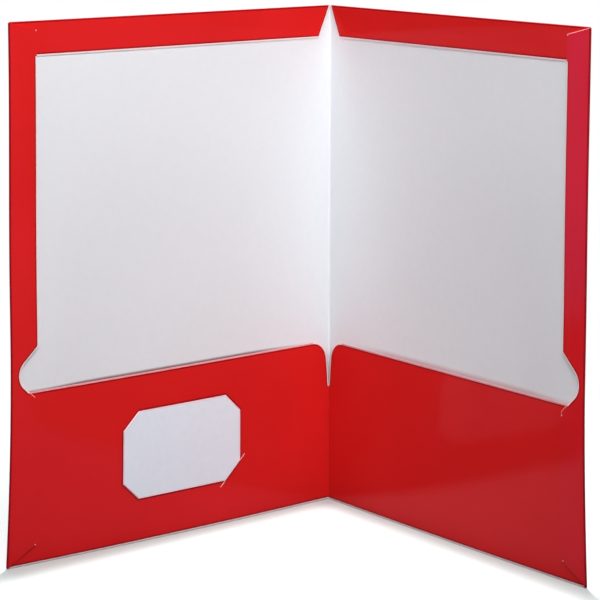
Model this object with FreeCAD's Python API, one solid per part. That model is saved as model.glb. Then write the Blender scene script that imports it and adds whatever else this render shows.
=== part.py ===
"""Two pocket folder, standing open on its folded bottom edges, in millimetres.

One sheet of board, film on its outer side, is creased and folded: two covers joined by a narrow
spine, a hem folded down along each top edge, a pocket folded up along each bottom edge, and a
flap folded in along each outer edge, over the ends of the hem and the pocket. The front pocket
has four slits that hold a card by its corners.

Z is up. The folder opens towards -Y, its front half is on the -X side and its spine is at +Y.
The origin is the middle of the bounding box, at the bottom.

Each half is drawn flat in its own frame, the same for both halves: u runs from the spine out to
the free edge, v runs out of the folder (the cover's inner face is v = 0) and z is up.
"""

import FreeCAD, Part
import math
import os

# Whole folder
cover_width = 241.3  # closed folder, spine to free edge
cover_height = 298.5
opening_angle = 78.0  # between the inner faces of the covers

# Sheet, film, glue and card
board_thickness = 0.30
film_thickness = 0.03
glue_thickness = 0.06  # under the side flaps
card_thickness = 0.25
card_clearance = 0.04  # each side of the card, where it lies against board or film
closing_clearance = 0.14  # between the two pockets when the folder is shut
crease_gap = 0.30  # from a crease to the edge of the hem or pocket beside it
fold_clearance = 0.30  # from the ends of the hem and pocket to the fold that covers them

# Hem along each top edge
hem_height = 18.2
hem_mitre = 8.1  # how far the spine end slants back over the hem's height
hem_corner_radius = 1.5

# Pocket along each bottom edge
pocket_height = 98.0
pocket_corner_radius = 10.5
pocket_taper_height = 34.0  # length of the spine edge that leans away from the crease
pocket_taper_width = 4.2

# Flap along each outer edge
flap_width = 18.6
flap_top_taper = 4.2  # drop of the slanted top end over the flap's width
flap_bottom_taper = 10.3
notch_rise = 11.0  # middle of the notch above the pocket's top edge
notch_half_height = 15.5
notch_flank_angle = 41.0  # from level
notch_nose_radius = 8.8
notch_shoulder_radius = 3.0

# Card and the slits that hold it
card_width = 88.9
card_height = 50.8
card_offset = 6.5  # from the middle of the pocket's open width, towards the free edge
card_rise = 1.9  # above the middle of the pocket's height
card_tuck = 11.3  # along the card's long edge, from its corner to the slit
slit_angle = 42.0  # from level
slit_length = 25.4
card_ramp = 0.40  # run over which the card dips through a slit

# Glue lines
hem_glue_width = 7.0
hem_glue_inset = 16.0  # from each end of the hem
flap_glue_width = 10.0
flap_glue_inset = 4.0  # from the outer fold
flap_glue_margin = 3.0  # from the edges of what the flap covers

# Layers, from the cover's inner face into the folder
fold_gap = card_thickness + 2 * card_clearance  # a tucked card corner fits inside the folds
skin = board_thickness + film_thickness
second_layer = -fold_gap - board_thickness  # inner face of the hem and pocket boards
second_face = second_layer - film_thickness
third_layer = second_face - glue_thickness - board_thickness
third_face = third_layer - film_thickness

# Folds: the inner radius spans what the fold goes round
edge_fold_inner = fold_gap / 2
edge_fold_outer = edge_fold_inner + skin
side_fold_inner = (fold_gap + skin + glue_thickness) / 2
side_fold_outer = side_fold_inner + skin

# Places on a half
flat_bottom = edge_fold_outer
flat_top = cover_height - edge_fold_outer
flat_edge = cover_width - side_fold_outer
layer_edge = flat_edge - fold_clearance
flap_edge = cover_width - flap_width
hem_bottom = cover_height - hem_height

# Spine: just wide enough for both pockets to lie between the shut covers
spine_width = closing_clearance - 2 * second_face
half_angle = opening_angle / 2
crease_turn = 90.0 - half_angle  # each crease, from flat
reach_down = (
    flat_edge * math.cos(math.radians(half_angle))
    + side_fold_inner * math.sin(math.radians(half_angle))
    + side_fold_outer
)
spine_y = (reach_down - skin) / 2

# Card place, on the front half
card_u = flap_edge / 2 + card_offset
card_z = pocket_height / 2 + card_rise
card_front = second_face - card_clearance - card_thickness / 2
card_back = -card_clearance - card_thickness / 2
ramp_angle = math.atan2(card_back - card_front, card_ramp)
ramp_shift = card_thickness / 2 * math.tan(ramp_angle / 2)
slit_opening = card_ramp + 2 * ramp_shift + 2 * card_clearance


def point(u, v, z):
    return FreeCAD.Vector(u, v, z)


def outline(corners):
    """Closed wire at v = 0 through corners (u, z, radius), each rounded by its radius."""
    rounded = []
    for i, (u, z, radius) in enumerate(corners):
        here = point(u, 0, z)
        before = point(corners[i - 1][0], 0, corners[i - 1][1])
        following = corners[(i + 1) % len(corners)]
        after = point(following[0], 0, following[1])
        if radius == 0:
            rounded.append((here, None, here))
            continue
        back = (before - here).normalize()
        on = (after - here).normalize()
        half = back.getAngle(on) / 2
        reach = radius / math.tan(half)
        inward = (back + on).normalize()
        middle = here + inward * (radius / math.sin(half) - radius)
        rounded.append((here + back * reach, middle, here + on * reach))
    edges = []
    for i, (start, middle, end) in enumerate(rounded):
        if middle is not None:
            edges.append(Part.Arc(start, middle, end).toShape())
        edges.append(Part.makeLine(end, rounded[(i + 1) % len(rounded)][0]))
    return Part.Wire(edges)


def sheet(corners, v_start, thickness):
    """Flat sheet with the outline's shape, from v_start outwards."""
    face = Part.Face(outline(corners))
    face.translate(point(0, v_start, 0))
    return face.extrude(point(0, thickness, 0))


def block(u_span, v_span, z_span):
    size = [span[1] - span[0] for span in (u_span, v_span, z_span)]
    return Part.makeBox(*size, point(u_span[0], v_span[0], z_span[0]))


def fold(centre, inner, outer, bulge, length):
    """Sheet bent through half a turn about a line: centre is the line's start, bulge points to
    the outside of the bend, and length is the vector along the line."""
    side = point(0, 1, 0)
    outside = Part.Arc(centre + side * outer, centre + bulge * outer, centre - side * outer)
    inside = Part.Arc(centre - side * inner, centre + bulge * inner, centre + side * inner)
    wire = Part.Wire(
        [
            outside.toShape(),
            Part.makeLine(centre - side * outer, centre - side * inner),
            inside.toShape(),
            Part.makeLine(centre + side * inner, centre + side * outer),
        ]
    )
    return Part.Face(wire).extrude(length)


def cover_outline():
    return [
        (0, flat_bottom, 0),
        (flat_edge, flat_bottom, 0),
        (flat_edge, flat_top, 0),
        (0, flat_top, 0),
    ]


def hem_outline():
    return [
        (crease_gap, flat_top, 0),
        (crease_gap + hem_mitre, hem_bottom, hem_corner_radius),
        (layer_edge, hem_bottom, 0),
        (layer_edge, flat_top, 0),
    ]


def pocket_outline():
    taper_start = pocket_height - pocket_taper_height
    return [
        (crease_gap, flat_bottom, 0),
        (layer_edge, flat_bottom, 0),
        (layer_edge, pocket_height, 0),
        (crease_gap + pocket_taper_width, pocket_height, pocket_corner_radius),
        (crease_gap, taper_start, 0),
    ]


def flap_outline():
    notch_z = pocket_height + notch_rise
    notch_depth = notch_half_height / math.tan(math.radians(notch_flank_angle))
    return [
        (flat_edge, flat_bottom, 0),
        (flat_edge, flat_top, 0),
        (flap_edge, flat_top - flap_top_taper, 0),
        (flap_edge, notch_z + notch_half_height, notch_shoulder_radius),
        (flap_edge + notch_depth, notch_z, notch_nose_radius),
        (flap_edge, notch_z - notch_half_height, notch_shoulder_radius),
        (flap_edge, flat_bottom + flap_bottom_taper, 0),
    ]


def cover_board():
    return sheet(cover_outline(), 0, board_thickness)


def cover_film():
    return sheet(cover_outline(), board_thickness, film_thickness)


def top_hem_board():
    return sheet(hem_outline(), second_layer, board_thickness)


def top_hem_film():
    return sheet(hem_outline(), second_face, film_thickness)


def top_fold():
    centre = point(crease_gap, -edge_fold_inner, flat_top)
    length = point(layer_edge - crease_gap, 0, 0)
    return fold(centre, edge_fold_inner, edge_fold_outer, point(0, 0, 1), length)


def bottom_fold():
    centre = point(crease_gap, -edge_fold_inner, flat_bottom)
    length = point(layer_edge - crease_gap, 0, 0)
    return fold(centre, edge_fold_inner, edge_fold_outer, point(0, 0, -1), length)


def side_fold():
    centre = point(flat_edge, -side_fold_inner, flat_bottom)
    length = point(0, 0, flat_top - flat_bottom)
    return fold(centre, side_fold_inner, side_fold_outer, point(1, 0, 0), length)


def side_flap_board():
    return sheet(flap_outline(), third_layer, board_thickness)


def side_flap_film():
    return sheet(flap_outline(), third_face, film_thickness)


def card_corners():
    """Slit middle, direction along the slit and direction to the card's corner, four times."""
    angle = math.radians(slit_angle)
    tuck_z = card_tuck * math.tan(angle)
    for side_u in (-1, 1):
        for side_z in (-1, 1):
            middle = point(
                card_u + side_u * (card_width - card_tuck) / 2,
                0,
                card_z + side_z * (card_height - tuck_z) / 2,
            )
            along = point(side_u * math.cos(angle), 0, -side_z * math.sin(angle))
            outward = point(side_u * math.sin(angle), 0, side_z * math.cos(angle))
            yield middle, along, outward


def cut_slits(shape):
    """Opens the four slits through a sheet of the pocket."""
    for middle, along, outward in card_corners():
        ends = [(-1, -1), (1, -1), (1, 1), (-1, 1)]
        corners = []
        for end, side in ends:
            corner = middle + along * (end * slit_length / 2) + outward * (side * slit_opening / 2)
            corners.append((corner.x, corner.z, 0))
        shape = shape.cut(sheet(corners, second_face, skin))
    return shape


def pocket_board(slitted):
    board = sheet(pocket_outline(), second_layer, board_thickness)
    return cut_slits(board) if slitted else board


def pocket_film(slitted):
    film = sheet(pocket_outline(), second_face, film_thickness)
    return cut_slits(film) if slitted else film


def hem_glue():
    middle = (hem_bottom + flat_top) / 2
    z_span = (middle - hem_glue_width / 2, middle + hem_glue_width / 2)
    u_span = (crease_gap + hem_mitre + hem_glue_inset, layer_edge - hem_glue_inset)
    return block(u_span, (-fold_gap, 0), z_span)


def flap_glue(z_low, z_high):
    """Glue line down the flap, over what it covers between two heights."""
    u_high = layer_edge - flap_glue_inset
    return block(
        (u_high - flap_glue_width, u_high),
        (second_face - glue_thickness, second_face),
        (z_low + flap_glue_margin, z_high - flap_glue_margin),
    )


def flap_hem_glue():
    return flap_glue(hem_bottom, flat_top - flap_top_taper)


def flap_pocket_glue():
    notch_foot = pocket_height + notch_rise - notch_half_height
    return flap_glue(flat_bottom + flap_bottom_taper, min(pocket_height, notch_foot))


def crease():
    """Wedge of board and film that bends, between the cover and the spine."""
    turn = math.radians(crease_turn)
    start = point(0, skin, flat_bottom)
    middle = point(-math.sin(turn / 2) * skin, math.cos(turn / 2) * skin, flat_bottom)
    end = point(-math.sin(turn) * skin, math.cos(turn) * skin, flat_bottom)
    axis = point(0, 0, flat_bottom)
    wire = Part.Wire(
        [
            Part.makeLine(axis, start),
            Part.Arc(start, middle, end).toShape(),
            Part.makeLine(end, axis),
        ]
    )
    return Part.Face(wire).extrude(point(0, 0, flat_top - flat_bottom))


def tucked_corner(middle, along, outward):
    """Strip of card that crosses one slit: in front of the pocket, through it, and behind."""
    half = card_thickness / 2
    run = card_ramp / 2
    profile = [
        (-card_tuck, card_front + half),
        (-run - ramp_shift, card_front + half),
        (run - ramp_shift, card_back + half),
        (card_tuck, card_back + half),
        (card_tuck, card_back - half),
        (run + ramp_shift, card_back - half),
        (-run + ramp_shift, card_front - half),
        (-card_tuck, card_front - half),
    ]
    start = middle - along * (slit_length / 2)
    points = [start + outward * distance + point(0, v, 0) for distance, v in profile]
    wire = Part.makePolygon(points + points[:1])
    return Part.Face(wire).extrude(along * slit_length)


def business_card():
    """Card whose middle lies on the pocket and whose corners lie behind it."""
    low_u, high_u = card_u - card_width / 2, card_u + card_width / 2
    low_z, high_z = card_z - card_height / 2, card_z + card_height / 2
    tuck_u = card_tuck + card_ramp / math.sin(math.radians(slit_angle))
    tuck_z = tuck_u * math.tan(math.radians(slit_angle))
    octagon = [
        (low_u + tuck_u, low_z, 0),
        (high_u - tuck_u, low_z, 0),
        (high_u, low_z + tuck_z, 0),
        (high_u, high_z - tuck_z, 0),
        (high_u - tuck_u, high_z, 0),
        (low_u + tuck_u, high_z, 0),
        (low_u, high_z - tuck_z, 0),
        (low_u, low_z + tuck_z, 0),
    ]
    card = sheet(octagon, card_front - card_thickness / 2, card_thickness)
    whole = block((low_u, high_u), (card_front - card_thickness, 0), (low_z, high_z))
    for corner in card_corners():
        card = card.fuse(tucked_corner(*corner).common(whole))
    return card.removeSplitter()


def half_pieces(with_card):
    return {
        "cover_board": cover_board(),
        "cover_film": cover_film(),
        "top_fold": top_fold(),
        "top_hem_board": top_hem_board(),
        "top_hem_film": top_hem_film(),
        "bottom_fold": bottom_fold(),
        "pocket_board": pocket_board(with_card),
        "pocket_film": pocket_film(with_card),
        "side_fold": side_fold(),
        "side_flap_board": side_flap_board(),
        "side_flap_film": side_flap_film(),
        "hem_glue": hem_glue(),
        "flap_hem_glue": flap_hem_glue(),
        "flap_pocket_glue": flap_pocket_glue(),
        "crease": crease(),
    }


def place_back(shape):
    """Turns a piece from a half's own frame to the back half's place."""
    shape.rotate(point(0, 0, 0), point(0, 0, 1), -crease_turn)
    shape.translate(point(spine_width / 2, spine_y, 0))
    return shape


def place_front(shape):
    """The front half mirrors the back half."""
    return place_back(shape).mirror(point(0, 0, 0), point(1, 0, 0))


def spine_layer(y_start, thickness):
    return block(
        (-spine_width / 2, spine_width / 2),
        (spine_y + y_start, spine_y + y_start + thickness),
        (flat_bottom, flat_top),
    )


def main():
    os.makedirs("parts", exist_ok=True)
    nodes = {}
    for name, shape in half_pieces(with_card=True).items():
        nodes["front_" + name] = place_front(shape)
    for name, shape in half_pieces(with_card=False).items():
        nodes["back_" + name] = place_back(shape)
    nodes["spine_board"] = spine_layer(0, board_thickness)
    nodes["spine_film"] = spine_layer(board_thickness, film_thickness)
    nodes["business_card"] = place_front(business_card())
    for name, shape in nodes.items():
        shape.exportStep(f"parts/{name}.step")


main()
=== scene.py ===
import math

import bmesh
import bpy
import numpy as np
from mathutils import Matrix, Vector
from mathutils.geometry import delaunay_2d_cdt


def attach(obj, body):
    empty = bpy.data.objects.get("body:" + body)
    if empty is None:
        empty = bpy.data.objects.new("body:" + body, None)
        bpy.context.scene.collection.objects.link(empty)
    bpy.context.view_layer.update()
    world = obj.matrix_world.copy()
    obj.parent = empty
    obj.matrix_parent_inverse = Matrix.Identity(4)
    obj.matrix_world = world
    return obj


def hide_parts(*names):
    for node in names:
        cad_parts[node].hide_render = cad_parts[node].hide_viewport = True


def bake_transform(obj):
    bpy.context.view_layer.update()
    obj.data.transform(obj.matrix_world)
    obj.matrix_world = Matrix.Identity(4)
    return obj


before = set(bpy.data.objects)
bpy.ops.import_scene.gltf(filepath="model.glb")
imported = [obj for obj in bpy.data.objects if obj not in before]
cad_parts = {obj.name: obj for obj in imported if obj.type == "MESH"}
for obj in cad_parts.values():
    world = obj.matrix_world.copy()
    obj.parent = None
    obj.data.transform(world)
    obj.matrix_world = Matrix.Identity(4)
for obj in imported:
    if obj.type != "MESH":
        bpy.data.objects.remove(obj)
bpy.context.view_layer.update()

# Each half of the folder has a frame of its own, in millimetres: u runs from the spine out to the
# free edge, v runs out of the folder from the cover's inner face, and z is up. The sheets are
# drawn flat, in a and b, which are u and z, or the run of the sheet round its fold.
MM = 0.001
FRONT, BACK = -1, 1  # the halves, by the side of the spine that they are on
AXIS_A, AXIS_B = 0, 1

# The folder's own measures, as in the CAD source
COVER_WIDTH = 241.3
COVER_HEIGHT = 298.5
HALF_ANGLE = math.radians(39)  # half of the opening between the covers
SPINE_WIDTH = 1.46
SPINE_Y = 93.7878  # inner face of the spine
SKIN = 0.33  # board and film together
FOLD_GAP = 0.33  # between a cover and the hem or pocket folded against it
FOLD_CLEARANCE = 0.30  # from the outer ends of the hem and pocket to the fold that covers them
CREASE_GAP = 0.30
EDGE_FOLD = 0.165  # inner radius of the folds along the top and bottom
SIDE_FOLD = 0.36  # inner radius of the folds along the outer edges
FLAT_BOTTOM = EDGE_FOLD + SKIN
FLAT_TOP = COVER_HEIGHT - EDGE_FOLD - SKIN
FLAT_EDGE = COVER_WIDTH - SIDE_FOLD - SKIN
LAYER_EDGE = FLAT_EDGE - FOLD_CLEARANCE
SECOND_FACE = -FOLD_GAP - SKIN  # film of the hem and of the pocket
HEM_MITRE = 8.1
HEM_CORNER = 1.5
POCKET_HEIGHT = 98.0
FLAP_EDGE = 222.7
FLAP_HEAD = 4.2  # drop of the flap's slanted top end
FLAP_FOOT = 10.3  # and rise of its slanted foot
NOTCH_NOSE = 8.8
NOTCH_SHOULDER = 3.0
NOTCH_SLOPE = math.radians(41)

CARD_U, CARD_Z = 117.85, 50.9
CARD_WIDTH, CARD_HEIGHT = 88.9, 50.8
CARD_THICKNESS = 0.25
CARD_FRONT, CARD_BACK = -0.825, -0.165  # middle of the card, before and behind the pocket
CARD_TUCK = 11.3
CARD_RAMP = 0.40  # run over which the card dips through a slit
SLIT_ANGLE = math.radians(42)
SLIT_LENGTH = 25.4

GLUE = 0.06  # thickness under the flaps
HEM_GLUE_WIDTH = 7.0
HEM_GLUE_INSET = 16.0
FLAP_GLUE_WIDTH = 10.0
FLAP_GLUE_INSET = 4.0
FLAP_GLUE_MARGIN = 3.0
GLUE_CORNER = 1.8

# Where the scene differs a little from the CAD source: cut edges
HEM_BOTTOM = 279.6
POCKET_START = -0.30  # just past the crease, so that the two pockets all but meet
POCKET_TAPER = 28.0  # the pocket's spine edge leans away from the crease over this height
POCKET_BEND_U, POCKET_BEND_DROP = 0.6, 18.0  # and bends here, this far below the mouth
POCKET_LEAN = 2.2
POCKET_CORNER = 12.0  # radius, at the mouth
NOTCH_Z = {FRONT: 107.6, BACK: 109.7}
NOTCH_HALF = {FRONT: 15.0, BACK: 16.0}
SLIT_OPENING = 0.38
SLIT_OPEN = 7.65  # half of the length that the card holds open
SLIT_TAPER = 1.1  # run over which the slit closes towards each end
SHUT_TIP, PULLED_TIP = 0.01, 0.05  # half of a slit's width at its ends

# and the bend of the sheets
SPINE_DENT = 0.24  # the spine's board is pressed thinner between its creases
SPINE_SOFT = 0.25  # how far from a crease the spine's paper side starts to round
HEM_PRESS = 0.31  # how much nearer the cover the glue holds the hem's free edge
HEM_PRESS_START, HEM_PRESS_RUN = 6.0, 8.0  # counted from the fold
# Outward lean of a half's free edge: how far, below which height and over what height it grows;
# and of its lower corner: how far, below which height, and how sharply it curls
FLARE = {FRONT: (2.2, 290, 140, 7.0, 130, 1.8), BACK: (0.5, 230, 100, 4.3, 110, 1.6)}
FLARE_POWER = 2.2  # how fast both grow towards the free edge
WAVE = 0.05  # height of the board's slow waves
WAVE_U, WAVE_Z = 23, 31  # their lengths, each over 2 pi
WAVE_SHIFT = 1.3  # sets the two halves' waves apart
WAVE_START = 40  # they grow over this distance from the spine
BELLY = 2.6  # outward bulge of a cover behind its pocket's mouth
BELLY_SPINE_RUN, BELLY_FLAP_RUN, BELLY_TOP_RUN = 70, 40, 140  # over which it fades
BELLY_MARGIN = 3  # between the belly and the flap
CARD_CROWN = 0.08  # how far the card's middle bulges
CROWN_HALF_WIDTH, CROWN_HALF_HEIGHT = 45, 26

# How the sheets are meshed
GRID = 7.0  # spacing of mesh points
GLUE_GRID = 3.5
CARD_GRID = 4.0
OUTLINE_SPACING = 3.5
ARC_STEP = math.radians(9)
ARC_STEPS_LEAST = 4
RING_CLEARANCE = 0.6  # from the innermost ring along an edge to the nearest mesh point
ROW_CLEARANCE = 0.5
SEAM = 3.0  # a fold's sheet reaches this far on to the flat cover
SPINE_SEAM = 2.0  # and the spine's sheet this far
FOLD_STEPS = 12
SPINE_STEPS = 8
SPINE_ROWS = 44
CARD_BEND_HALF = 0.42  # half of the length of the card's bends, as a share of a slit's length
WELD = 1e-5
FAR = 1e6
SHARP = math.radians(30)

# How the edges are worn, and the shade and highlights painted along edges and folds
HAIR_RING = 0.20  # rings along a cut edge, counted from the edge, which bound its strips
CUT_RING = 0.90
RIM_RING = 1.75
EDGE_PRESS = 0.20  # share of the thickness lost at a cut edge
FRAY = 0.7  # length of a rubbed spot at a corner
WORN_DROP = 3.2  # the notch's edge is a hair of board from the pocket's mouth down to here
SCUFF_DROP = 2.5  # from the notch down to a rubbed spot
PALE_FOOT = 0.60  # top of the pale board-coloured strip above the bottom fold
DARK_FOOT = 1.5  # and of the darker strip above that
DARK_HEM = 0.6  # the top fold's painted shade, a strip of dark film, ends this far down the hem
DARK_FOLD = 0.3  # painted shade, dark film on the top and side folds, starts here, as a share of the bend
PALE_FOLD = 0.5  # and the pale board-coloured strip on the bottom fold starts here
DARK_FLAP = 1.05  # and the side fold's painted shade ends here
CARD_SHADOW = (-1.05, 0.3)  # painted shadow: dark film on the pocket round the card, by how far inside its edge it lies
CARD_HIGHLIGHT_STRIP = (-0.05, 0.90)  # and the painted highlight along the card's edge, a pale pink strip on its face

FILM, PAPER, CUT, RIM, LIP = range(5)  # material slots of a sheet
# Kinds of edge: joined to the next sheet; cut, with the board showing and a line of painted
# shade beside it; cut, with a hair of dark film as painted shade; cut, with a hair of board; cut,
# and hardly to be seen; and the mouth of a pocket, its cut board painted shaded, with a line of
# painted shade beside it
SEAM_EDGE, PALE_EDGE, DARK_EDGE, WORN_EDGE, SHUT_EDGE, LIP_EDGE = range(6)
ALL_EDGES = (SEAM_EDGE, PALE_EDGE, DARK_EDGE, WORN_EDGE, SHUT_EDGE, LIP_EDGE)
CUT_EDGES = (PALE_EDGE, DARK_EDGE, WORN_EDGE, SHUT_EDGE, LIP_EDGE)
PRESSED_EDGES = (PALE_EDGE, DARK_EDGE, WORN_EDGE, LIP_EDGE)
WALL_SLOT = (PAPER, CUT, RIM, LIP, FILM, CUT)  # what shows in the sheet's thickness, for each kind
# The strips along the edges, from the bottom one up: how wide, along which edges, and their slot.
# RIM strips are painted shade, and the LIP strip is cut board painted shaded
EDGE_STRIPS = (
    (RIM_RING, (PALE_EDGE, LIP_EDGE), RIM),
    (HAIR_RING, (DARK_EDGE,), RIM),
    (CUT_RING, (PALE_EDGE,), CUT),
    (CUT_RING, (LIP_EDGE,), LIP),
    (HAIR_RING, (WORN_EDGE,), CUT),
)

# Colours: the two tones that a material's mottle runs between
RED_FILM = ((0.70, 0.0150, 0.0150), (0.74, 0.0168, 0.0168))
# the back half's flap: red film made crimson by a painted reflection of white board
FLAP_FILM_PAINTED_REFLECTION = ((0.71, 0.0195, 0.0440), (0.75, 0.0215, 0.0480))
# dark film, which paints shade along cut edges and folds and round the card
DARK_FILM = ((0.30, 0.007, 0.009), (0.34, 0.009, 0.011))
WHITE_BOARD = ((0.80, 0.81, 0.84), (0.815, 0.825, 0.855))
# cut board: the board showing at a cut, painted paler than the board's face as a highlight
CUT_BOARD = ((0.99, 0.70, 0.71), (1.0, 0.75, 0.76))
# cut board at a pocket's mouth, painted shaded, and more so on the back half, which is less lit
LIP_PAINTED_SHADE = {
    FRONT: ((0.86, 0.28, 0.30), (0.90, 0.34, 0.36)),
    BACK: ((0.66, 0.25, 0.27), (0.72, 0.31, 0.33)),
}
CARD_STOCK = ((0.82, 0.88, 0.97), (0.85, 0.91, 0.99))
# pale pink of the painted highlight along the card's edge
CARD_EDGE_PAINTED_HIGHLIGHT = ((0.99, 0.68, 0.74), (1.0, 0.72, 0.78))
DRIED_GLUE = ((0.62, 0.58, 0.46), (0.74, 0.71, 0.62))
MOTTLE = (0.3, 0.7)  # the values of the noise that give these tones

# Gloss
FILM_ROUGHNESS = 0.10
DARK_FILM_ROUGHNESS = 0.30
BOARD_ROUGHNESS = 0.85
CARD_ROUGHNESS = 0.7
GLUE_ROUGHNESS = 0.45
ROUGHNESS_SPREAD = (0.8, 1.25)
FILM_IOR = 1.5
FILM_SHEEN = 0.06
FILM_TINT = (1.0, 0.20, 0.75, 1.0)
PAPER_SHEEN = 0.25

# Painted shade and a painted reflection, as tints that fade out upwards: the tint, and the heights
# where it starts to fade and has gone. First painted shadow on the board in a pocket's mouth,
# where the gap behind the pocket's edge lies in shade
MOUTH_SHADE = {
    FRONT: ((0.36, 0.20, 0.20), POCKET_HEIGHT - 0.1, POCKET_HEIGHT + 1.1),
    BACK: ((0.90, 0.60, 0.60), POCKET_HEIGHT - 0.2, POCKET_HEIGHT + 2.4),
}
MOUTH_CLEAR = 8.0  # none of it this near the spine
CLEAR_RUN = 5.0  # and all of it at this many times as far
# then painted shade on the spine's board in the narrow V between the pockets, darker lower down
SPINE_SHADE = ((0.50, 0.36, 0.37), POCKET_HEIGHT - 28, POCKET_HEIGHT - 4)
# and a painted reflection on the back half's flap: its film is crimson higher up, where it mirrors
# the other half's white board, and less so lower down
FLAP_PAINTED_REFLECTION_FADE = ((0.99, 0.75, 0.45), POCKET_HEIGHT + 38, POCKET_HEIGHT + 72)

# Stage, in metres and watts
FLOOR_SIZE = 30.0
FLOOR_CELLS = 8
FLOOR_DISC = (0.30, 0.40)  # from the spine's foot to where the disc starts to fade and ends
FLOOR_BOUNCED = (0.11, 0.11, 0.117, 1)  # the disc's tone for the light that it throws back
FLOOR_SEEN = (0.45, 0.48, 0.475, 1)  # and as it is seen, by the camera or in the film
WORLD_LIGHT = 0.07
LAMPS = (  # name, place, size and power
    ("key", (0.25, -0.6, 1.1), 0.6, 16.2),
    ("fill", (-0.5, -0.7, 1.1), 0.6, 4.6),
    ("back", (-0.5, 1.3, 1.1), 1.2, 16.0),
    ("overhead", (0, 0.165, 1.7), 0.10, 41.0),  # casts the narrow shadow under the folder
)
LAMP_AIM = (0, 0, 0.15)
CAMERA_PLACE = (0.14732, -1.470793, 0.384358)
CAMERA_YAW, CAMERA_PITCH, CAMERA_ROLL = (math.radians(angle) for angle in (6.015, 9.4694, 0.1198))
CAMERA_LENS = 159.356  # in millimetres, as is the sensor
CAMERA_SENSOR = 36.0
CAMERA_REACH = 200.0


# ---------------------------------------------------------------- outlines in the flat sheet


def rotation(angle):
    return np.array([[math.cos(angle), -math.sin(angle)], [math.sin(angle), math.cos(angle)]])


def rounded(corners):
    """Points round an outline of corners (a, b, radius, edge), and for each point the kind of
    edge that leads from it to the next."""
    count = len(corners)
    places = [np.array(corner[:2], float) for corner in corners]
    arcs = []
    for i, (_, _, radius, _) in enumerate(corners):
        here = places[i]
        if radius == 0:
            arcs.append([here])
            continue
        back = places[i - 1] - here
        on = places[(i + 1) % count] - here
        back, on = back / np.linalg.norm(back), on / np.linalg.norm(on)
        half = math.acos(np.clip(back @ on, -1, 1)) / 2
        centre = here + (back + on) / np.linalg.norm(back + on) * radius / math.sin(half)
        first = here + back * radius / math.tan(half) - centre
        last = here + on * radius / math.tan(half) - centre
        turn = math.atan2(first[0] * last[1] - first[1] * last[0], first @ last)
        steps = max(ARC_STEPS_LEAST, math.ceil(abs(turn) / ARC_STEP))
        arcs.append([centre + rotation(t) @ first for t in np.linspace(0, turn, steps + 1)])
    points, kinds = [], []
    for i, arc in enumerate(arcs):
        points += arc[:-1]
        kinds += [corners[i][3]] * (len(arc) - 1)
        end, start = arcs[(i + 1) % count][0], arc[-1]
        steps = max(1, math.ceil(np.linalg.norm(end - start) / OUTLINE_SPACING))
        points += [start + (end - start) * k / steps for k in range(steps)]
        kinds += [corners[i][3]] * steps
    return np.array(points), np.array(kinds)


def rectangle(a_span, b_span, radius, edge):
    """Corners of a rectangular outline."""
    return [
        (a_span[0], b_span[0], radius, edge),
        (a_span[1], b_span[0], radius, edge),
        (a_span[1], b_span[1], radius, edge),
        (a_span[0], b_span[1], radius, edge),
    ]


def inset(points, width):
    """The closed loop moved inwards by a width, with mitred corners."""
    ahead = np.roll(points, -1, 0) - points
    ahead /= np.linalg.norm(ahead, axis=1)[:, None]
    a, b = points.T
    area = np.sum(a * np.roll(b, -1) - b * np.roll(a, -1))
    inward = np.column_stack([-ahead[:, 1], ahead[:, 0]]) * math.copysign(1, area)
    before = np.roll(inward, 1, 0)
    return points + (inward + before) * (width / (1 + np.sum(inward * before, axis=1)))[:, None]


def nearest(points, edges, wanted):
    """Distance from each point to the nearest edge of the wanted kinds, and that edge's kind."""
    starts, ends, kinds = (part[np.isin(edges[2], wanted)] for part in edges)
    if len(starts) == 0:
        return np.full(len(points), FAR), np.zeros(len(points), int)
    along = ends - starts
    offset = points[:, None, :] - starts[None, :, :]
    share = np.clip(np.sum(offset * along, axis=2) / np.sum(along * along, axis=1), 0, 1)
    gaps = np.linalg.norm(offset - share[:, :, None] * along, axis=2)
    return gaps.min(axis=1), kinds[gaps.argmin(axis=1)]


def inside(points, loop):
    """Which points lie inside a closed loop."""
    x, y = points[:, 0][:, None], points[:, 1][:, None]
    x1, y1 = loop[:, 0], loop[:, 1]
    x2, y2 = np.roll(x1, -1), np.roll(y1, -1)
    rise = np.where(y2 == y1, 1e-12, y2 - y1)  # a level edge is never crossed
    crossed = ((y1 > y) != (y2 > y)) & (x < (x2 - x1) * (y - y1) / rise + x1)
    return crossed.sum(axis=1) % 2 == 1


def grid_lines(low, high, spacing):
    return np.arange(math.ceil(low / spacing) * spacing, high, spacing)


# ---------------------------------------------------------------- from the sheet to the folder


def smooth(value, length):
    """0 up to 0, 1 from length on, and a smooth rise between."""
    share = np.clip(value / length, 0, 1)
    return share * share * (3 - 2 * share)


def window(value, low, high):
    """0 outside low to high, and a smooth hump to 1 between."""
    share = np.clip((value - low) / (high - low), 0, 1)
    return np.sin(math.pi * share) ** 2


def warp(side, u, z):
    """How far the whole half bends outwards at a place: its lower outer corner flares, and a
    sheet of board is never quite flat."""
    lean, lean_top, lean_run, curl, curl_top, curl_power = FLARE[side]
    flare = lean * smooth(lean_top - z, lean_run)
    flare = flare + curl * np.clip(1 - z / curl_top, 0, 1) ** curl_power
    out = np.clip(u / COVER_WIDTH, 0, 1) ** FLARE_POWER
    calm = np.clip((u - SPINE_SEAM) / WAVE_START, 0, 1)
    wave = WAVE * np.sin(u / WAVE_U + side) * np.sin(z / WAVE_Z + WAVE_SHIFT * side)
    return out * flare + calm * wave


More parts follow.
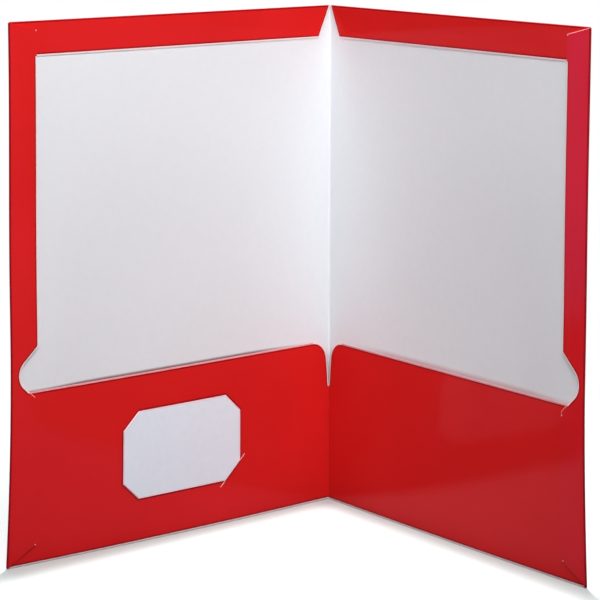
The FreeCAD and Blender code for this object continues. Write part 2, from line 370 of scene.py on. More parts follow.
def belly(u, z):
    """Outward bulge of a cover behind the mouth of its pocket, which so stands ajar."""
    to_flap = FLAP_EDGE - BELLY_MARGIN - u
    across = smooth(u - SPINE_SEAM, BELLY_SPINE_RUN) * smooth(to_flap, BELLY_FLAP_RUN)
    below = smooth(z - FLAT_BOTTOM - SEAM, POCKET_HEIGHT - FLAT_BOTTOM - SEAM)
    above = smooth(POCKET_HEIGHT + BELLY_TOP_RUN - z, BELLY_TOP_RUN)
    return BELLY * across * below * above


def to_folder(side, u, v, z):
    """A half's own frame, in millimetres, to the folder's frame in metres."""
    x = side * (SPINE_WIDTH / 2 + u * math.sin(HALF_ANGLE) + v * math.cos(HALF_ANGLE))
    y = SPINE_Y - u * math.cos(HALF_ANGLE) + v * math.sin(HALF_ANGLE)
    return np.column_stack([x, y, z]) * MM


def fold_length(radius):
    """Length of a half turn along the middle of the sheet."""
    return math.pi * (radius + SKIN / 2)


def half_turn(run, radius, share):
    """Follows a sheet that lies flat up to run 0, bends through half a turn and lies flat
    again. share is 0 on the paper side and 1 on the film side. Returns how far it is beyond the
    start of the bend, and v."""
    length = fold_length(radius)
    angle = np.clip(run / length, 0, 1) * math.pi
    straight = -np.clip(-run, 0, None) - np.clip(run - length, 0, None)
    spoke = radius + share * SKIN
    return straight + spoke * np.sin(angle), spoke * np.cos(angle) - radius


def cover_shape(a, b, share):
    return a, share * SKIN + belly(a, b), b


def hem_shape(a, b, share):
    out, v = half_turn(b, EDGE_FOLD, share)
    glued_down = HEM_PRESS * smooth(-out - HEM_PRESS_START, HEM_PRESS_RUN)
    return a, v + glued_down, FLAT_TOP + out


def pocket_shape(a, b, share):
    out, v = half_turn(b, EDGE_FOLD, share)
    return a, v, FLAT_BOTTOM - out


def flap_shape(a, b, share):
    out, v = half_turn(a, SIDE_FOLD, share)
    return FLAT_EDGE + out, v, b


# ---------------------------------------------------------------- meshes


def add_loop(points, edges, loop):
    """Adds a closed loop of points and the edges between them."""
    first = len(points)
    points += [Vector(p) for p in loop]
    edges += [(first + i, first + (i + 1) % len(loop)) for i in range(len(loop))]


def add_row(points, edges, axis, place, ticks):
    """Adds a straight row of points across the sheet and the edges between them."""
    first = len(points)
    points += [Vector((place, tick) if axis == AXIS_A else (tick, place)) for tick in ticks]
    edges += [(first + i, first + i + 1) for i in range(len(ticks) - 1)]


def make_sheet(
    name,
    side,
    corners,
    shape,
    materials,
    rows=(),
    bands=(),
    lines=(),
    holes=(),
    strip=(),
    grid=GRID,
):
    """A sheet cut to an outline, meshed flat and then bent to its shape on one half.
    rows are extra point rows (axis, place), bands strips of a material (axis, low, high, slot),
    lines extra edges, holes (outline, kinds), and strip the outer and inner loop of one more
    strip and its slot."""
    outlines = [rounded(corners), *holes]
    loop = outlines[0][0]
    starts = np.vstack([places for places, _ in outlines])
    ends = np.vstack([np.roll(places, -1, 0) for places, _ in outlines])
    all_edges = (starts, ends, np.concatenate([kinds for _, kinds in outlines]))
    low, high = loop.min(axis=0), loop.max(axis=0)
    points, edges = [], []
    for places, _ in outlines:
        sign = 1 if places is loop else -1  # the rings round a hole lie outside it
        for width in (0, HAIR_RING, CUT_RING, RIM_RING):
            add_loop(points, edges, inset(places, width * sign))
    for axis, place in rows:
        along = 1 - axis
        ticks = grid_lines(low[along], high[along], grid)
        ticks = np.concatenate([[low[along] - 1], ticks, [high[along] + 1]])
        add_row(points, edges, axis, place, ticks)
    for start, end in lines:
        edges.append((len(points), len(points) + 1))
        points += [Vector(start), Vector(end)]
    for ring in strip[:2]:
        add_loop(points, edges, ring)
    net_b = grid_lines(low[1], high[1], grid)
    net = np.array([(a, b) for a in grid_lines(low[0], high[0], grid) for b in net_b])
    net = net[inside(net, loop)]
    net = net[nearest(net, all_edges, ALL_EDGES)[0] > RIM_RING + RING_CLEARANCE]
    for axis, place in rows:
        net = net[np.abs(net[:, axis] - place) > ROW_CLEARANCE]
    points += [Vector(p) for p in net]
    found = delaunay_2d_cdt(points, edges, [], 0, WELD)
    flat = np.array([tuple(p) for p in found[0]])
    faces = np.array([tuple(f) for f in found[2]])
    middle = flat[faces].mean(axis=1)
    kept = inside(middle, loop)
    for hole, _ in holes:
        kept &= ~inside(middle, hole)
    return raise_sheet(name, side, flat, faces[kept], all_edges, bands, strip, shape, materials)


def raise_sheet(name, side, flat, faces, edges, bands, strip, shape, materials):
    """Gives a flat mesh its thickness and bends it to its shape."""
    used = np.unique(faces)
    order = np.full(len(flat), -1)
    order[used] = np.arange(len(used))
    flat, faces = flat[used], order[faces]
    gap, _ = nearest(flat, edges, PRESSED_EDGES)
    pressed = 1 - EDGE_PRESS * np.clip(1 - gap / CUT_RING, 0, 1) ** 2
    sides = []
    for share in (np.zeros(len(flat)), pressed):
        u, v, z = shape(flat[:, 0], flat[:, 1], share)
        sides.append(to_folder(side, u, v + warp(side, u, z), z))
    middles = flat[faces].mean(axis=1)
    face_slot = np.full(len(faces), FILM)
    for axis, low, high, slot in bands:
        face_slot[(middles[:, axis] > low) & (middles[:, axis] < high)] = slot
    if strip:
        outer, inner, slot = strip
        face_slot[inside(middles, outer) & ~inside(middles, inner)] = slot
    gap, kind = nearest(middles, edges, CUT_EDGES)
    for width, kinds, slot in EDGE_STRIPS:
        face_slot[(gap < width) & np.isin(kind, kinds)] = slot

    bm = bmesh.new()
    paper = [bm.verts.new(p) for p in sides[0]]
    film = [bm.verts.new(p) for p in sides[1]]
    steps = set()
    for face, slot in zip(faces.tolist(), face_slot.tolist()):
        bm.faces.new([paper[i] for i in face]).material_index = PAPER
        bm.faces.new([film[i] for i in reversed(face)]).material_index = slot
        steps.update((face[i - 1], face[i]) for i in range(3))
    border = sorted(step for step in steps if (step[1], step[0]) not in steps)
    middles = np.array([(flat[i] + flat[j]) / 2 for i, j in border])
    _, kinds = nearest(middles, edges, ALL_EDGES)
    for (i, j), kind in zip(border, kinds):
        wall = bm.faces.new([paper[j], paper[i], film[i], film[j]])
        wall.material_index = WALL_SLOT[kind]
    return finish_mesh(name, bm, materials)


def finish_mesh(name, bm, materials):
    bmesh.ops.recalc_face_normals(bm, faces=bm.faces)
    for face in bm.faces:
        face.smooth = True
    for edge in bm.edges:
        if len(edge.link_faces) == 2:
            edge.smooth = edge.calc_face_angle() < SHARP
    mesh = bpy.data.meshes.new(name)
    bm.to_mesh(mesh)
    bm.free()
    for material in materials:
        mesh.materials.append(material)
    piece = bpy.data.objects.new(name, mesh)
    bpy.context.scene.collection.objects.link(piece)
    return piece


def fold_rows(axis, radius):
    """Rows of points across a half turn, from one end of the bend to the other."""
    return [(axis, fold_length(radius) * k / FOLD_STEPS) for k in range(FOLD_STEPS + 1)]


# ---------------------------------------------------------------- the pieces of one half


def half_name(side):
    return "front" if side == FRONT else "back"


def make_cover(side, materials):
    u_span = (SPINE_SEAM, FLAT_EDGE - SEAM)
    z_span = (FLAT_BOTTOM + SEAM, FLAT_TOP - SEAM)
    corners = rectangle(u_span, z_span, 0, SEAM_EDGE)
    return make_sheet(f"{half_name(side)}_cover", side, corners, cover_shape, materials)


def fold_start(start):
    """The part of the outline that joins a top or bottom fold to the cover and the spine."""
    return [
        (start, 0, 0, SEAM_EDGE),
        (SPINE_SEAM, 0, 0, SEAM_EDGE),
        (SPINE_SEAM, -SEAM, 0, SEAM_EDGE),
        (FLAT_EDGE - SEAM, -SEAM, 0, SEAM_EDGE),
        (FLAT_EDGE - SEAM, 0, 0, SEAM_EDGE),
        (LAYER_EDGE, 0, 0, SHUT_EDGE),
    ]


def make_hem(side, materials):
    turn = fold_length(EDGE_FOLD)
    run = turn + FLAT_TOP - HEM_BOTTOM
    corners = fold_start(0) + [
        (LAYER_EDGE, run, 0, PALE_EDGE),
        (CREASE_GAP + HEM_MITRE, run, HEM_CORNER, PALE_EDGE),
        (0, turn, 0, SHUT_EDGE),
    ]
    rows = fold_rows(AXIS_B, EDGE_FOLD) + [(AXIS_B, turn + DARK_HEM)]
    # painted shade on the top fold and just below it
    bands = [(AXIS_B, turn * DARK_FOLD, turn + DARK_HEM, RIM)]
    return make_sheet(f"{half_name(side)}_hem", side, corners, hem_shape, materials, rows, bands)


def make_pocket(side, materials):
    turn = fold_length(EDGE_FOLD)
    run = turn + POCKET_HEIGHT - FLAT_BOTTOM
    corners = fold_start(POCKET_START) + [
        (LAYER_EDGE, run, 0, LIP_EDGE),
        (CREASE_GAP + POCKET_LEAN, run, POCKET_CORNER, PALE_EDGE),
        (POCKET_BEND_U, run - POCKET_BEND_DROP, 0, PALE_EDGE),
        (POCKET_START, run - POCKET_TAPER, 0, SHUT_EDGE),
        (POCKET_START, turn, 0, SHUT_EDGE),
    ]
    rows = fold_rows(AXIS_B, EDGE_FOLD)
    rows += [(AXIS_B, turn + PALE_FOOT), (AXIS_B, turn + DARK_FOOT)]
    bands = [
        (AXIS_B, turn * PALE_FOLD, turn + PALE_FOOT, CUT),
        (AXIS_B, turn + PALE_FOOT, turn + DARK_FOOT, RIM),
    ]
    holes, strip = [], ()
    if side == FRONT:
        holes = slit_holes(turn - FLAT_BOTTOM)
        outline = card_outline() + np.array([0, turn - FLAT_BOTTOM])
        # painted shadow of the card on the pocket
        strip = (*(inset(outline, width) for width in CARD_SHADOW), RIM)
    name = f"{half_name(side)}_pocket"
    return make_sheet(
        name, side, corners, pocket_shape, materials, rows, bands, holes=holes, strip=strip
    )


def make_flap(side, materials):
    turn = fold_length(SIDE_FOLD)
    run = turn + FLAT_EDGE - FLAP_EDGE
    notch, half = NOTCH_Z[side], NOTCH_HALF[side]
    shoulder = notch - half
    scuff = shoulder - SCUFF_DROP
    worn = POCKET_HEIGHT - WORN_DROP
    foot = FLAT_BOTTOM + FLAP_FOOT
    head = FLAT_TOP - FLAP_HEAD

    def flank(height):
        """The flat sheet's place on the notch's lower flank at a height."""
        return run - (height - notch + half) / math.tan(NOTCH_SLOPE)

    # The back half's flap is the more worn one, and has more painted shade along its foot
    foot_edge = scuff_edge = shoulder_edge = head_edge = SHUT_EDGE
    if side == BACK:
        foot_edge, scuff_edge = DARK_EDGE, PALE_EDGE
        shoulder_edge = head_edge = WORN_EDGE
    corners = [
        (-SEAM, FLAT_BOTTOM, 0, SHUT_EDGE),
        (turn, FLAT_BOTTOM, 0, foot_edge),
        ((turn + run) / 2, (FLAT_BOTTOM + foot) / 2, 0, DARK_EDGE),
        (run, foot, 0, PALE_EDGE),
        (run, foot + FRAY, 0, SHUT_EDGE),
        (run, scuff, 0, scuff_edge),
        (run, scuff + FRAY, 0, SHUT_EDGE),
        (run, shoulder, NOTCH_SHOULDER, shoulder_edge),
        (flank(worn), worn, 0, WORN_EDGE),
        (flank(POCKET_HEIGHT), POCKET_HEIGHT, 0, PALE_EDGE),
        (flank(notch), notch, NOTCH_NOSE, PALE_EDGE),
        (run, notch + half, NOTCH_SHOULDER, PALE_EDGE),
        (run, HEM_BOTTOM, 0, SHUT_EDGE),
        (run, head - FRAY, 0, PALE_EDGE),
        (run, head, 0, head_edge),
        (turn, FLAT_TOP, 0, SHUT_EDGE),
        (-SEAM, FLAT_TOP, 0, SEAM_EDGE),
    ]
    rows = fold_rows(AXIS_A, SIDE_FOLD)
    # painted shade on the side fold
    bands = [(AXIS_A, turn * DARK_FOLD, turn * DARK_FLAP, RIM)]
    return make_sheet(f"{half_name(side)}_flap", side, corners, flap_shape, materials, rows, bands)


def make_glue(side, name, u_span, v_span, z_span, material):
    """A dried line of glue between two layers."""
    corners = rectangle(u_span, z_span, GLUE_CORNER, SEAM_EDGE)

    def shape(a, b, share):
        return a, v_span[0] + (v_span[1] - v_span[0]) * share, b

    name = f"{half_name(side)}_{name}"
    materials = [material] * (RIM + 1)  # the same in every slot
    return make_sheet(name, side, corners, shape, materials, grid=GLUE_GRID)


# ---------------------------------------------------------------- slits and card


def card_corners():
    """Slit middle, direction along the slit and direction to the card's corner, four times."""
    tuck_z = CARD_TUCK * math.tan(SLIT_ANGLE)
    for a in (-1, 1):
        for b in (-1, 1):
            u = CARD_U + a * (CARD_WIDTH - CARD_TUCK) / 2
            z = CARD_Z + b * (CARD_HEIGHT - tuck_z) / 2
            along = np.array([a * math.cos(SLIT_ANGLE), -b * math.sin(SLIT_ANGLE)])
            outward = np.array([a * math.sin(SLIT_ANGLE), b * math.cos(SLIT_ANGLE)])
            yield np.array([u, z]), along, outward


def card_outline():
    """What shows of the card: its rectangle with the four tucked corners off."""
    cut_u, cut_z = CARD_TUCK, CARD_TUCK * math.tan(SLIT_ANGLE)
    half_u, half_z = CARD_WIDTH / 2, CARD_HEIGHT / 2
    corner = [(half_u - cut_u, half_z), (half_u, half_z - cut_z)]
    places = corner + [(a, -b) for a, b in reversed(corner)]
    places += [(-a, -b) for a, b in corner] + [(-a, b) for a, b in reversed(corner)]
    return np.array([CARD_U, CARD_Z]) + np.array(places)


def slit_holes(rise):
    """The slits in the pocket's flat sheet: open where the card goes through, almost shut
    towards their ends. The one low down beside the spine has been pulled open."""
    holes = []
    half = SLIT_OPENING / 2
    reach = SLIT_LENGTH / 2
    for number, (middle, along, outward) in enumerate(card_corners()):
        tip, tip_edge = (PULLED_TIP, WORN_EDGE) if number == 0 else (SHUT_TIP, SHUT_EDGE)
        run = [(-reach, tip), (-SLIT_OPEN - SLIT_TAPER, tip), (-SLIT_OPEN, half)]
        run += [(SLIT_OPEN, half), (SLIT_OPEN + SLIT_TAPER, tip), (reach, tip)]
        kinds = [tip_edge, tip_edge, SHUT_EDGE, tip_edge, tip_edge, tip_edge]
        places = []
        for way in (1, -1):
            places += [middle + way * (along * end + outward * wide) for end, wide in run]
        holes.append((np.array(places) + np.array([0, rise]), np.array(kinds * 2)))
    return holes


def card_shape(a, b, share):
    """The card's middle lies on the pocket and its corners dip through the slits."""
    places = np.column_stack([a, b])
    behind = np.full(len(places), -FAR)
    for middle, _, outward in card_corners():
        behind = np.maximum(behind, (places - middle) @ outward)
    dip = np.clip(behind / CARD_RAMP + 0.5, 0, 1)
    middle_v = CARD_FRONT + (CARD_BACK - CARD_FRONT) * dip
    crown = CARD_CROWN * window(a, CARD_U - CROWN_HALF_WIDTH, CARD_U + CROWN_HALF_WIDTH)
    crown = crown * window(b, CARD_Z - CROWN_HALF_HEIGHT, CARD_Z + CROWN_HALF_HEIGHT)
    return a, middle_v - crown + (0.5 - share) * CARD_THICKNESS, b


def make_card(materials):
    u_span = (CARD_U - CARD_WIDTH / 2, CARD_U + CARD_WIDTH / 2)
    z_span = (CARD_Z - CARD_HEIGHT / 2, CARD_Z + CARD_HEIGHT / 2)
    corners = rectangle(u_span, z_span, 0, SHUT_EDGE)
    lines = []
    for middle, along, outward in card_corners():
        for run in (-CARD_RAMP / 2, CARD_RAMP / 2):
            centre = middle + outward * run
            reach = along * SLIT_LENGTH * CARD_BEND_HALF
            lines.append((centre - reach, centre + reach))
    outline = card_outline()
    # painted highlight along the card's edge
    strip = (*(inset(outline, width) for width in CARD_HIGHLIGHT_STRIP), CUT)
    return make_sheet(
        "card", FRONT, corners, card_shape, materials, lines=lines, strip=strip, grid=CARD_GRID
    )


# ---------------------------------------------------------------- spine


def make_spine(side, materials):
    """Half of the spine with the crease and the first strip of the cover beside it. Returns the
    piece, and the two ends of the crease's bend."""
    crease_turn = math.pi / 2 - HALF_ANGLE
    corner = np.array([SPINE_WIDTH / 2, SPINE_Y])
    along = np.array([math.sin(HALF_ANGLE), -math.cos(HALF_ANGLE)])
    out = np.array([math.cos(HALF_ANGLE), math.sin(HALF_ANGLE)])
    back = np.array([0.0, 1.0])
    paper, film = [], []
    for share in (0, 0.5):
        reach = share * (SPINE_WIDTH / 2 - SPINE_SOFT)
        paper.append(np.array([reach, SPINE_Y + SPINE_DENT]))
        film.append(np.array([share * SPINE_WIDTH / 2, SPINE_Y + SKIN]))
    before, after = corner + np.array([-SPINE_SOFT, SPINE_DENT]), corner + along * SPINE_SOFT
    for k in range(SPINE_STEPS + 1):
        t = k / SPINE_STEPS
        paper.append(before * (1 - t) ** 2 + corner * 2 * t * (1 - t) + after * t**2)
        angle = crease_turn * t
        film.append(corner + SKIN * np.array([math.sin(angle), math.cos(angle)]))
    for distance_out in (SPINE_SEAM / 2, SPINE_SEAM):
        paper.append(corner + along * distance_out)
        film.append(corner + along * distance_out + out * SKIN)

    bm = bmesh.new()
    heights = np.linspace(FLAT_BOTTOM, FLAT_TOP, SPINE_ROWS)
    inner, outer = (
        [[bm.verts.new((side * x * MM, y * MM, z * MM)) for x, y in places] for z in heights]
        for places in (paper, film)
    )

    def add_face(slot, *verts):
        bm.faces.new(verts).material_index = slot

    top, end = len(heights) - 1, len(paper) - 1
    for j in range(top):
        for k in range(end):
            for ring, slot in ((inner, PAPER), (outer, FILM)):
                add_face(slot, ring[j][k], ring[j][k + 1], ring[j + 1][k + 1], ring[j + 1][k])
        for k in (0, end):
            add_face(PAPER, inner[j][k], inner[j + 1][k], outer[j + 1][k], outer[j][k])
    for j in (0, top):
        for k in range(end):
            add_face(CUT, inner[j][k], inner[j][k + 1], outer[j][k + 1], outer[j][k])
    piece = finish_mesh(f"spine_{half_name(side)}", bm, materials)

    middle = COVER_HEIGHT / 2
    places = (corner + back * SKIN, corner + out * SKIN)
    ends = [Vector((side * x * MM, y * MM, middle * MM)) for x, y in places]
    return piece, ends


# ---------------------------------------------------------------- materials


def new_material(name, roughness):
    material = bpy.data.materials.new(name)
    material.use_nodes = True
    nodes, links = material.node_tree.nodes, material.node_tree.links
    shader = nodes["Principled BSDF"]
    shader.inputs["Roughness"].default_value = roughness
    place = nodes.new("ShaderNodeTexCoord")
    return material, nodes, links, shader, place


def add_noise(nodes, links, place, scale, detail=3.0):
    """Noise in the piece's own metres."""
    noise = nodes.new("ShaderNodeTexNoise")
    noise.inputs["Scale"].default_value = scale
    noise.inputs["Detail"].default_value = detail
    links.new(place.outputs["Object"], noise.inputs["Vector"])
    return noise.outputs["Fac"]


def add_ramp(nodes, links, source, span, tones):
    """Turns a value within a span into one of two tones or those between."""
    ramp = nodes.new("ShaderNodeValToRGB")
    for element, position, tone in zip(ramp.color_ramp.elements, span, tones):
        element.position = position
        element.color = (*tone, 1)
    links.new(source, ramp.inputs["Fac"])
    return ramp.outputs["Color"]


def add_bump(nodes, links, shader, source, height):
    """Adds a bump, in metres, to those that the shader has."""
    bump = nodes.new("ShaderNodeBump")
    bump.inputs["Distance"].default_value = height
    links.new(source, bump.inputs["Height"])
    previous = shader.inputs["Normal"].links
    if previous:
        links.new(previous[0].from_socket, bump.inputs["Normal"])
    links.new(bump.outputs["Normal"], shader.inputs["Normal"])


def add_shade(nodes, links, place, colour, shade, clear=0):
    """Multiplies a colour by a tint up to one height, fading out from there to another, and so
    paints shade or a reflection into it. shade is (tint, low, high), and clear keeps it off the
    spine."""
    tint, low, high = shade
    split = nodes.new("ShaderNodeSeparateXYZ")
    links.new(place.outputs["Object"], split.inputs["Vector"])
    height = nodes.new("ShaderNodeMapRange")
    height.inputs["From Min"].default_value = low * MM
    height.inputs["From Max"].default_value = high * MM
    links.new(split.outputs["Z"], height.inputs["Value"])
    soft = add_ramp(nodes, links, height.outputs["Result"], (0, 1), (tint, (1, 1, 1)))
    painted_tint = nodes.new("ShaderNodeMix")
    painted_tint.data_type = "RGBA"
    painted_tint.blend_type = "MULTIPLY"
    painted_tint.inputs["Factor"].default_value = 1
    if clear:
        mirrored = nodes.new("ShaderNodeMath")
        mirrored.operation = "ABSOLUTE"
        links.new(split.outputs["X"], mirrored.inputs[0])
        along = nodes.new("ShaderNodeMapRange")
        along.inputs["From Min"].default_value = clear * MM
        along.inputs["From Max"].default_value = CLEAR_RUN * clear * MM
        links.new(mirrored.outputs["Value"], along.inputs["Value"])
        links.new(along.outputs["Result"], painted_tint.inputs["Factor"])
    links.new(colour, painted_tint.inputs["A"])
    links.new(soft, painted_tint.inputs["B"])
    return painted_tint.outputs["Result"]


def film_material(name, tones, roughness=FILM_ROUGHNESS, shade=None):
    """Glossy coloured film over board: faint unevenness of the ink, a soft ripple from the
    board beneath and a fine orange peel."""
    material, nodes, links, shader, place = new_material(name, roughness)
    shader.inputs["IOR"].default_value = FILM_IOR
    shader.inputs["Specular IOR Level"].default_value = FILM_SHEEN
    shader.inputs["Specular Tint"].default_value = FILM_TINT
    cloud = add_noise(nodes, links, place, scale=14.0)
    colour = add_ramp(nodes, links, cloud, MOTTLE, tones)
    if shade:
        colour = add_shade(nodes, links, place, colour, shade)
    links.new(colour, shader.inputs["Base Color"])
    worn = add_noise(nodes, links, place, scale=45.0)
    rough = nodes.new("ShaderNodeMapRange")
    rough.inputs["To Min"].default_value = roughness * ROUGHNESS_SPREAD[0]
    rough.inputs["To Max"].default_value = roughness * ROUGHNESS_SPREAD[1]
    links.new(worn, rough.inputs["Value"])
    links.new(rough.outputs["Result"], shader.inputs["Roughness"])
    ripple = add_noise(nodes, links, place, scale=22.0, detail=1.0)
    add_bump(nodes, links, shader, ripple, height=0.00012)
    peel = add_noise(nodes, links, place, scale=900.0, detail=2.0)
    add_bump(nodes, links, shader, peel, height=0.000004)
    return material


def paper_material(name, tones, roughness=BOARD_ROUGHNESS, shade=None, clear=0):
    """Uncoated paper: faint mottle and fibre grain."""
    material, nodes, links, shader, place = new_material(name, roughness)
    shader.inputs["Specular IOR Level"].default_value = PAPER_SHEEN
    mottle = add_noise(nodes, links, place, scale=260.0, detail=4.0)
    colour = add_ramp(nodes, links, mottle, MOTTLE, tones)
    if shade:
        colour = add_shade(nodes, links, place, colour, shade, clear)
    links.new(colour, shader.inputs["Base Color"])
    grain = add_noise(nodes, links, place, scale=1800.0, detail=3.0)
    add_bump(nodes, links, shader, grain, height=0.00002)
    return material


def glue_material(name, tones):
    """Dried glue: cloudy, with low drops."""
    material, nodes, links, shader, place = new_material(name, GLUE_ROUGHNESS)
    drops = add_noise(nodes, links, place, scale=220.0, detail=2.0)
    links.new(add_ramp(nodes, links, drops, MOTTLE, tones), shader.inputs["Base Color"])
    add_bump(nodes, links, shader, drops, height=0.0001)
    return material


# ---------------------------------------------------------------- stage, lamps and camera


def make_floor():
    """Plain pale floor. Round the folder it is a matt disc, which takes the folder's shadow and
    is darker to bounced light, and beyond that it is plain white."""
    mesh = bpy.data.meshes.new("floor")
    bm = bmesh.new()
    bmesh.ops.create_grid(bm, x_segments=FLOOR_CELLS, y_segments=FLOOR_CELLS, size=FLOOR_SIZE)
    bm.to_mesh(mesh)
    bm.free()
    floor = bpy.data.objects.new("floor", mesh)
    bpy.context.scene.collection.objects.link(floor)
    material = bpy.data.materials.new("floor_white")
    material.use_nodes = True
    nodes, links = material.node_tree.nodes, material.node_tree.links
    nodes.clear()

    def node(kind, **values):
        made = nodes.new(kind)
        for key, value in values.items():
            setattr(made, key, value)
        return made

    place = node("ShaderNodeTexCoord")
    from_spine = node("ShaderNodeVectorMath", operation="DISTANCE")
    from_spine.inputs[1].default_value = (0, SPINE_Y * MM, 0)
    links.new(place.outputs["Object"], from_spine.inputs[0])
    away = node("ShaderNodeMapRange", interpolation_type="SMOOTHSTEP")
    away.inputs["From Min"].default_value = FLOOR_DISC[0]
    away.inputs["From Max"].default_value = FLOOR_DISC[1]
    links.new(from_spine.outputs["Value"], away.inputs["Value"])

    rays = node("ShaderNodeLightPath")
    seen = node("ShaderNodeMath", operation="MAXIMUM")
    links.new(rays.outputs["Is Camera Ray"], seen.inputs[0])
    links.new(rays.outputs["Is Glossy Ray"], seen.inputs[1])
    seen_too = node("ShaderNodeMath", operation="MAXIMUM")
    links.new(seen.outputs["Value"], seen_too.inputs[0])
    links.new(rays.outputs["Is Transmission Ray"], seen_too.inputs[1])
    share = node("ShaderNodeMath", operation="MULTIPLY")
    links.new(away.outputs["Result"], share.inputs[0])
    links.new(seen_too.outputs["Value"], share.inputs[1])

    tone = node("ShaderNodeMix", data_type="RGBA")
    links.new(seen_too.outputs["Value"], tone.inputs["Factor"])
    tone.inputs["A"].default_value = FLOOR_BOUNCED
    tone.inputs["B"].default_value = FLOOR_SEEN
    plain = node("ShaderNodeBsdfDiffuse")
    links.new(tone.outputs["Result"], plain.inputs["Color"])
    white = node("ShaderNodeEmission")
    white.inputs["Strength"].default_value = 1.0
    mix = node("ShaderNodeMixShader")
    links.new(share.outputs["Value"], mix.inputs["Fac"])
    links.new(plain.outputs["BSDF"], mix.inputs[1])
    links.new(white.outputs["Emission"], mix.inputs[2])
    output = node("ShaderNodeOutputMaterial")
    links.new(mix.outputs["Shader"], output.inputs["Surface"])
    floor.data.materials.append(material)


def make_world():
    world = bpy.data.worlds.new("studio")
    bpy.context.scene.world = world
    world.use_nodes = True
    background = world.node_tree.nodes["Background"]
    background.inputs["Color"].default_value = (1, 1, 1, 1)
    background.inputs["Strength"].default_value = WORLD_LIGHT


def make_lamp(name, place, size, power):
    data = bpy.data.lights.new(name, "AREA")
    data.shape = "SQUARE"
    data.size = size
    data.energy = power
    lamp = bpy.data.objects.new(name, data)
    lamp.location = place
    aim = Vector(LAMP_AIM) - Vector(place)
    lamp.rotation_euler = aim.to_track_quat("-Z", "Y").to_euler()
    bpy.context.scene.collection.objects.link(lamp)


def make_camera():
    """The photograph's viewpoint: in front, a little to the right and above."""
    yaw, pitch, roll = CAMERA_YAW, CAMERA_PITCH, CAMERA_ROLL
    ahead = Vector(
        (-math.sin(yaw) * math.cos(pitch), math.cos(yaw) * math.cos(pitch), -math.sin(pitch))
    )
    level = Vector((math.cos(yaw), math.sin(yaw), 0))
    upright = level.cross(ahead)
    right = level * math.cos(roll) + upright * math.sin(roll)
    up = upright * math.cos(roll) - level * math.sin(roll)
    data = bpy.data.cameras.new("camera")
    data.lens = CAMERA_LENS
    data.sensor_width = CAMERA_SENSOR
    data.clip_end = CAMERA_REACH
    camera = bpy.data.objects.new("camera", data)
    bpy.context.scene.collection.objects.link(camera)
    camera.matrix_world = Matrix.Translation(CAMERA_PLACE) @ (
        Matrix((right, up, -ahead)).transposed().to_4x4()
    )
    bpy.context.scene.camera = camera


# ---------------------------------------------------------------- putting it together


def make_glue_lines(side, body, glue):
    """The three lines of glue on one half, under its hem and its flap."""
    half = half_name(side)
    hem_middle = (HEM_BOTTOM + FLAT_TOP) / 2
    hem_glue = make_glue(
        side,
        "hem_glue_line",
        (CREASE_GAP + HEM_MITRE + HEM_GLUE_INSET, LAYER_EDGE - HEM_GLUE_INSET),
        (-FOLD_GAP, 0),
        (hem_middle - HEM_GLUE_WIDTH / 2, hem_middle + HEM_GLUE_WIDTH / 2),
        glue,
    )
    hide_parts(f"{half}_hem_glue")
    glue_edge = LAYER_EDGE - FLAP_GLUE_INSET
    u_span, v_span = (glue_edge - FLAP_GLUE_WIDTH, glue_edge), (SECOND_FACE - GLUE, SECOND_FACE)
    z_span = (HEM_BOTTOM + FLAP_GLUE_MARGIN, FLAT_TOP - FLAP_HEAD - FLAP_GLUE_MARGIN)
    upper_glue = make_glue(side, "flap_hem_glue_line", u_span, v_span, z_span, glue)
    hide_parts(f"{half}_flap_hem_glue")
    z_span = (
        FLAT_BOTTOM + FLAP_FOOT + FLAP_GLUE_MARGIN,
        NOTCH_Z[side] - NOTCH_HALF[side] - FLAP_GLUE_MARGIN,
    )
    lower_glue = make_glue(side, "flap_pocket_glue_line", u_span, v_span, z_span, glue)
    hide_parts(f"{half}_flap_pocket_glue")
    for piece in (hem_glue, upper_glue, lower_glue):
        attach(piece, body)


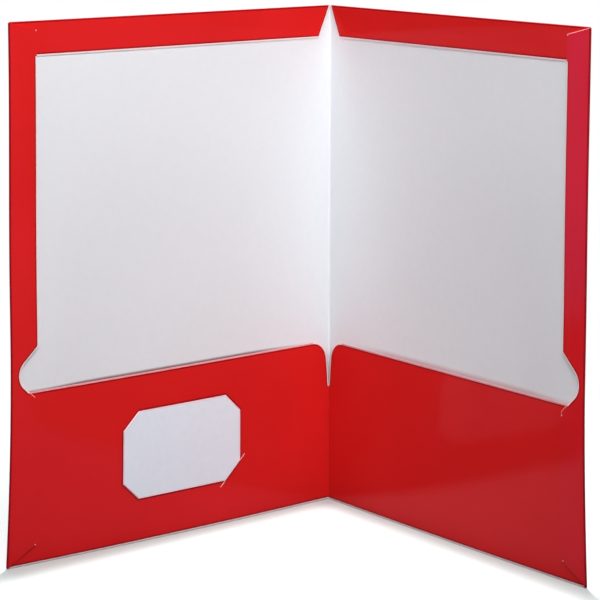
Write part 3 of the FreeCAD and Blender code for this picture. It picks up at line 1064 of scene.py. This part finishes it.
def build():
    film = film_material("red_film", RED_FILM)
    # dark film for painted shade
    painted_shade_film = film_material("red_film_painted_shade", DARK_FILM, DARK_FILM_ROUGHNESS)
    paper = paper_material("white_board", WHITE_BOARD)
    # the spine's board carries painted shade low in the V between the pockets
    spine_paper_painted_shade = paper_material("spine_board", WHITE_BOARD, shade=SPINE_SHADE)
    # cut board, partly painted highlight
    cut = paper_material("cut_board", CUT_BOARD)
    card_face = paper_material("card_stock", CARD_STOCK, CARD_ROUGHNESS)
    # the card's painted highlight along its edge
    card_edge_painted_highlight = paper_material("card_edge_painted_highlight", CARD_EDGE_PAINTED_HIGHLIGHT, CARD_ROUGHNESS)
    glue = glue_material("dried_glue", DRIED_GLUE)
    # the cut board of the pockets' mouths, painted shaded
    lips_painted_shade = {
        FRONT: paper_material("front_lip_painted_shade", LIP_PAINTED_SHADE[FRONT]),
        BACK: paper_material("back_lip_painted_shade", LIP_PAINTED_SHADE[BACK]),
    }
    # the back half's flap has a painted reflection, crimson higher up
    flap_film_painted_reflection = film_material("red_film_flap_painted_reflection", FLAP_FILM_PAINTED_REFLECTION, shade=FLAP_PAINTED_REFLECTION_FADE)
    flap_films = {FRONT: film, BACK: flap_film_painted_reflection}

    for side in (FRONT, BACK):
        half = half_name(side)
        body = f"{half}_cover"
        # the inner board carries the painted shadow in its pocket's mouth
        mouth = MOUTH_SHADE[side]
        inner = paper_material(f"{half}_inner_board", WHITE_BOARD, shade=mouth, clear=MOUTH_CLEAR)
        # worn holds cut board with a painted highlight, dark film of painted shade and the shaded
        # lip
        worn = [cut, painted_shade_film, lips_painted_shade[side]]
        cover = make_cover(side, [film, inner, *worn])
        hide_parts(f"{half}_cover_board", f"{half}_cover_film")
        hem = make_hem(side, [film, paper, *worn])
        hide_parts(f"{half}_top_fold", f"{half}_top_hem_board", f"{half}_top_hem_film")
        pocket = make_pocket(side, [film, paper, *worn])
        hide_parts(f"{half}_bottom_fold", f"{half}_pocket_board", f"{half}_pocket_film")
        flap = make_flap(side, [flap_films[side], paper, *worn])
        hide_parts(f"{half}_side_fold", f"{half}_side_flap_board", f"{half}_side_flap_film")
        for piece in (cover, hem, pocket, flap):
            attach(piece, body)
        make_glue_lines(side, body, glue)
        spine, ends = make_spine(side, [film, spine_paper_painted_shade, *worn])
        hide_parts(f"{half}_crease", "spine_board", "spine_film")
        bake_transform(spine)
    card = make_card([card_face, card_face, card_edge_painted_highlight, card_face])
    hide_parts("business_card")
    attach(card, "front_cover")


build()
make_floor()
make_world()
for lamp in LAMPS:
    make_lamp(*lamp)
make_camera()
bpy.context.scene.view_settings.view_transform = "Standard"
